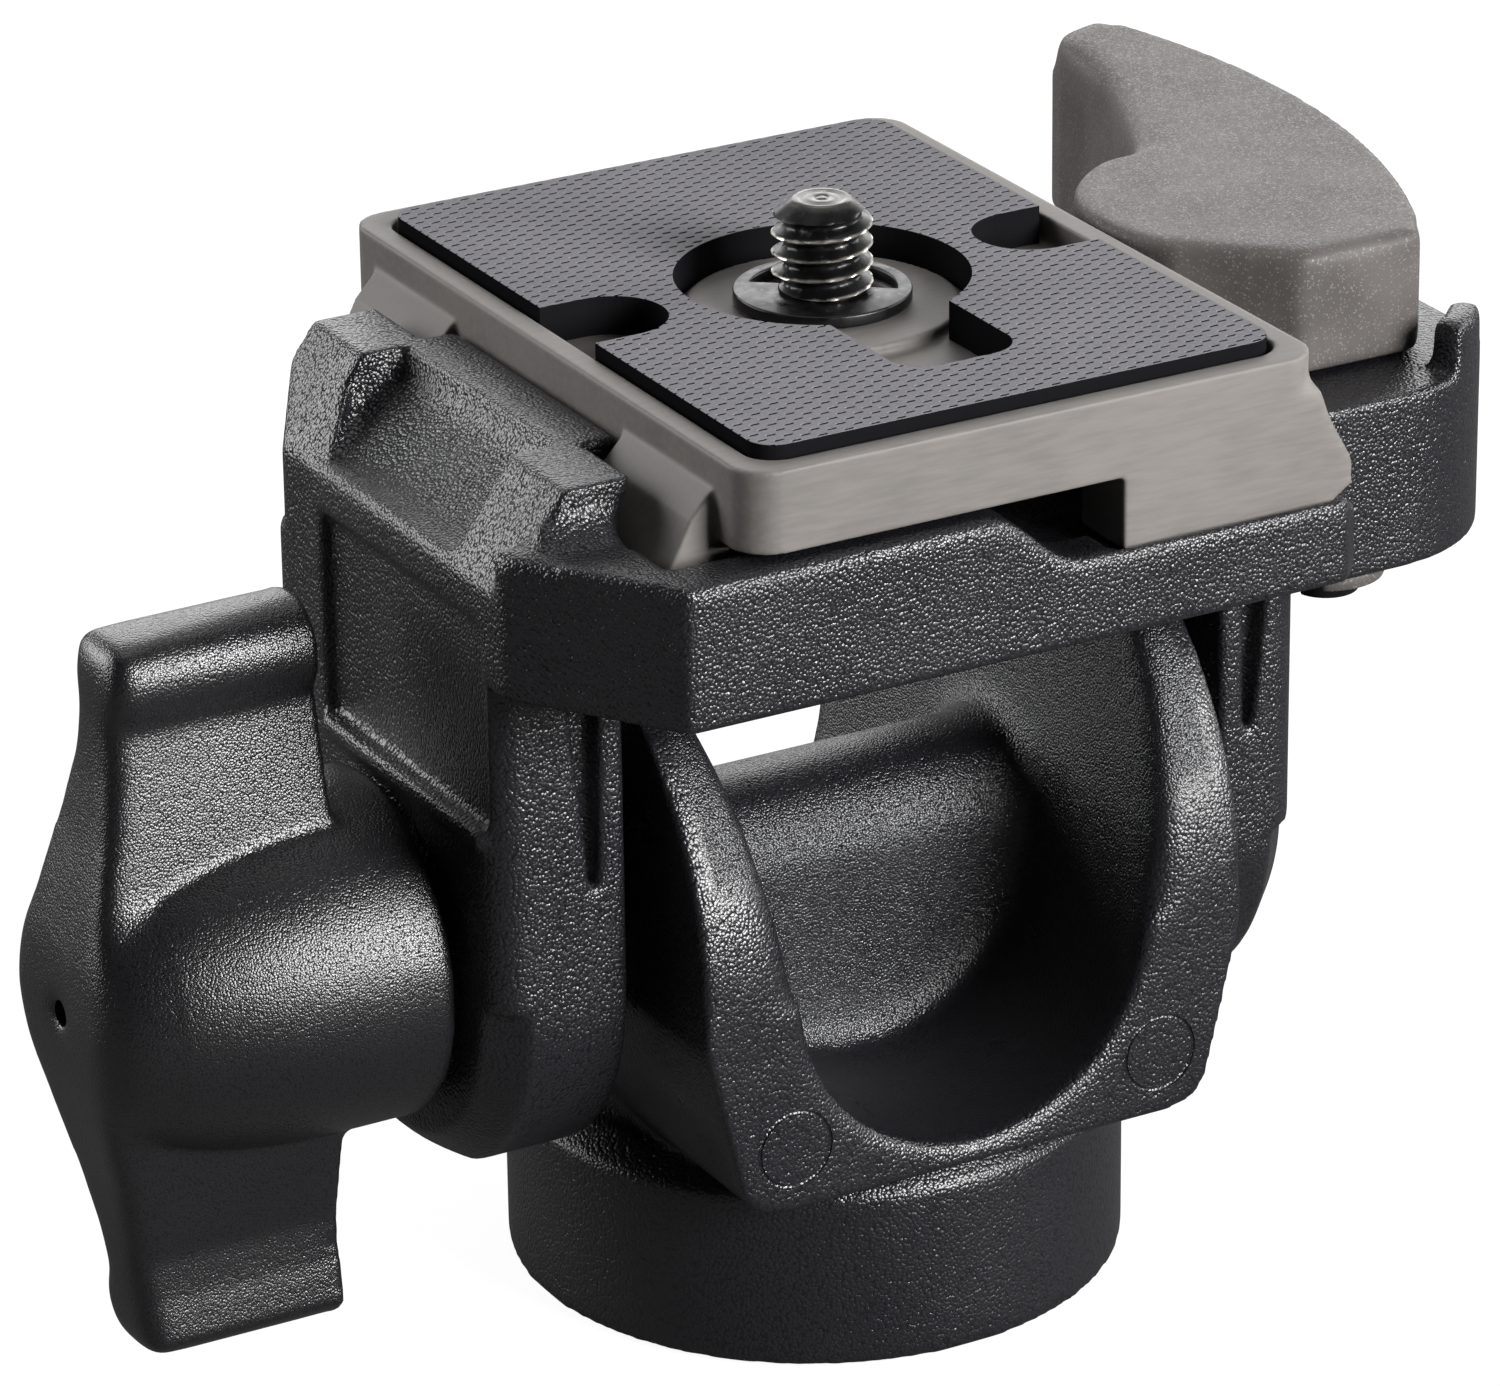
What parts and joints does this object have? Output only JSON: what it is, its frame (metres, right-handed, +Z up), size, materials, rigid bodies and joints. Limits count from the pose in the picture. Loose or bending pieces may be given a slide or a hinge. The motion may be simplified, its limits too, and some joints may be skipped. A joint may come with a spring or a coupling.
{
  "type": "monopod tilt head",
  "caption": "Single-axis tilting head with a foot thread, a wing clamp knob, and a rubber-topped quick-release camera plate held by a fixed jaw and a sprung cam lever.",
  "frame": {"origin": "centre of the foot's bottom face, on the monopod thread's axis", "axes": "+Z up out of the foot, X along the tilt axis from the clamp knob (-X) to the lock lever (+X), front is -Y"},
  "size_m": [0.0987, 0.0627, 0.0707],
  "materials": {
    "black_casting": "die-cast alloy under a coarse black powder coat",
    "brass": "turned",
    "acetal": "natural moulded acetal",
    "fibre": "pressed friction fibre",
    "steel": "zinc plated",
    "black_steel": "black oxide, worn bright on the crests",
    "black_plastic": "grained black nylon",
    "bronze_plate": "satin, bronze-grey",
    "bronze_paint": "sparkling bronze-grey paint",
    "pad_rubber": "fine staggered dashes"
  },
  "bodies": {
    "base": {"base_casting": "black_casting", "thread_insert": "brass", "pivot_bush_left": "acetal", "pivot_bush_right": "acetal"},
    "platform": {"platform_casting": "black_casting", "tilt_bolt": "steel", "head_washer": "steel", "knob_washer": "steel", "friction_washer_left": "fibre", "friction_washer_right": "fibre", "plate_casting": "bronze_plate", "rubber_pad": "pad_rubber", "lever_bush": "brass", "lever_spring": "steel", "spring_cover": "bronze_paint", "cover_screw": "black_steel", "trip_spring": "steel", "trip_plug": "steel"},
    "knob": {"knob_wing": "black_plastic", "knob_insert": "brass"},
    "lever": {"lock_lever": "bronze_paint", "lever_pivot": "steel", "lever_clip": "black_steel"},
    "trip": {"trip_pin": "brass"},
    "screw": {"camera_screw": "black_steel", "screw_retainer": "black_steel"}
  },
  "joints": [
    {"name": "tilt", "type": "hinge", "parent": "base", "child": "platform", "pos_m": [0, 0, 0.028], "axis": [1, 0, 0], "range_deg": [-90, 90]},
    {"name": "knob_turn", "type": "hinge", "parent": "platform", "child": "knob", "pos_m": [-0.04, 0, 0.028], "axis": [1, 0, 0], "continuous": true},
    {"name": "lever_swing", "type": "hinge", "parent": "platform", "child": "lever", "pos_m": [0.0326, 0, 0.0612], "axis": [0, 0, -1], "range_deg": [0, 42], "stiffness_Nm_per_rad": 0.15, "springref_deg": -34.38},
    {"name": "trip_slide", "type": "slide", "parent": "platform", "child": "trip", "axis": [0, 0, -1], "range_m": [0, 0.001], "stiffness_N_per_m": 300, "springref_m": -0.003, "deforming": ["trip_spring"]},
    {"name": "screw_turn", "type": "hinge", "parent": "platform", "child": "screw", "pos_m": [0.0012, 0, 0.06], "axis": [0, 0, 1], "continuous": true}
  ]
}
